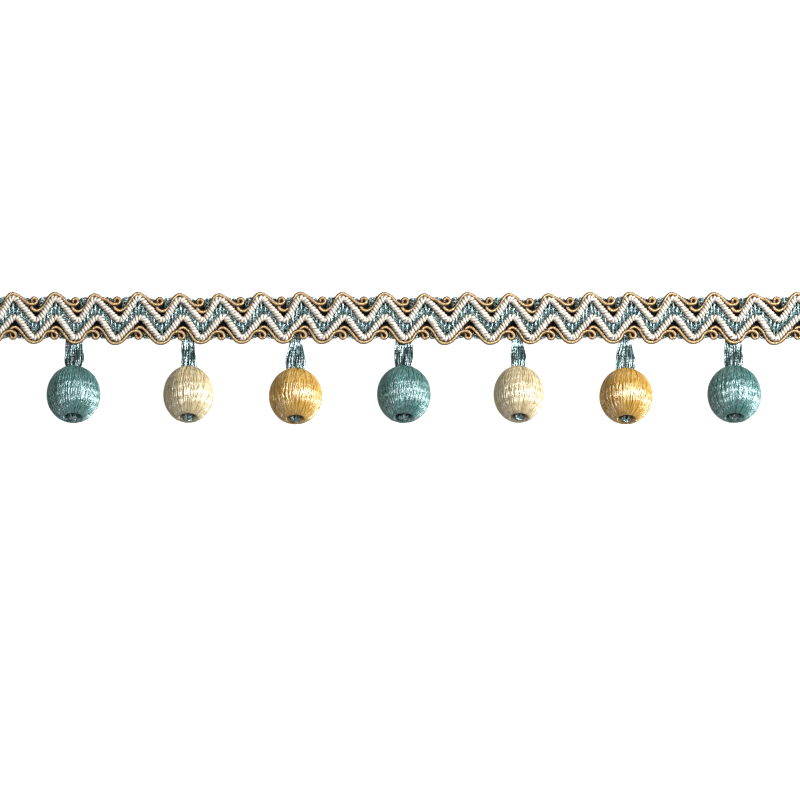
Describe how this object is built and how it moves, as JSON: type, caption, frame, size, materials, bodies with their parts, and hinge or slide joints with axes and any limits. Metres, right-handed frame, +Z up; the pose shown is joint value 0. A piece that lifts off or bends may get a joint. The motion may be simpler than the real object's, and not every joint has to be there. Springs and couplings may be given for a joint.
{
  "type": "ball trim",
  "caption": "Straight furnishing trim: a narrow yarn tape with zigzag and scroll cords and a row of thread-wound balls hung along its lower edge, lying flat.",
  "frame": {"origin": "centre of the tape's flat back, on the surface that the trim lies on", "axes": "+X along the trim, +Y across it away from the balls, +Z up from the surface"},
  "size_m": [0.3102, 0.0497, 0.0202],
  "materials": {
    "tape_yarn": "soft multi-filament teal yarn, woven",
    "cream_cord": "thick cream cord wrapped in slanting satin thread",
    "gold_cord": "thin gold cord wrapped in fine lustrous thread",
    "hanger_yarn": "lustrous teal twisted yarn",
    "teal_floss": "teal floss wound from pole to pole, satin lustre",
    "cream_floss": "cream floss wound from pole to pole, satin lustre",
    "gold_floss": "gold floss wound from pole to pole, satin lustre"
  },
  "bodies": {
    "root": {"ground_tape": "tape_yarn", "cream_cord_upper": "cream_cord", "gold_cord_upper": "gold_cord", "cream_cord_lower": "cream_cord", "gold_cord_lower": "gold_cord", "wound_ball_1": "teal_floss", "hanger_1": "hanger_yarn", "wound_ball_2": "cream_floss", "hanger_2": "hanger_yarn", "wound_ball_3": "gold_floss", "hanger_3": "hanger_yarn", "wound_ball_4": "teal_floss", "hanger_4": "hanger_yarn", "wound_ball_5": "cream_floss", "hanger_5": "hanger_yarn", "wound_ball_6": "gold_floss", "hanger_6": "hanger_yarn", "wound_ball_7": "teal_floss", "hanger_7": "hanger_yarn"}
  },
  "joints": []
}
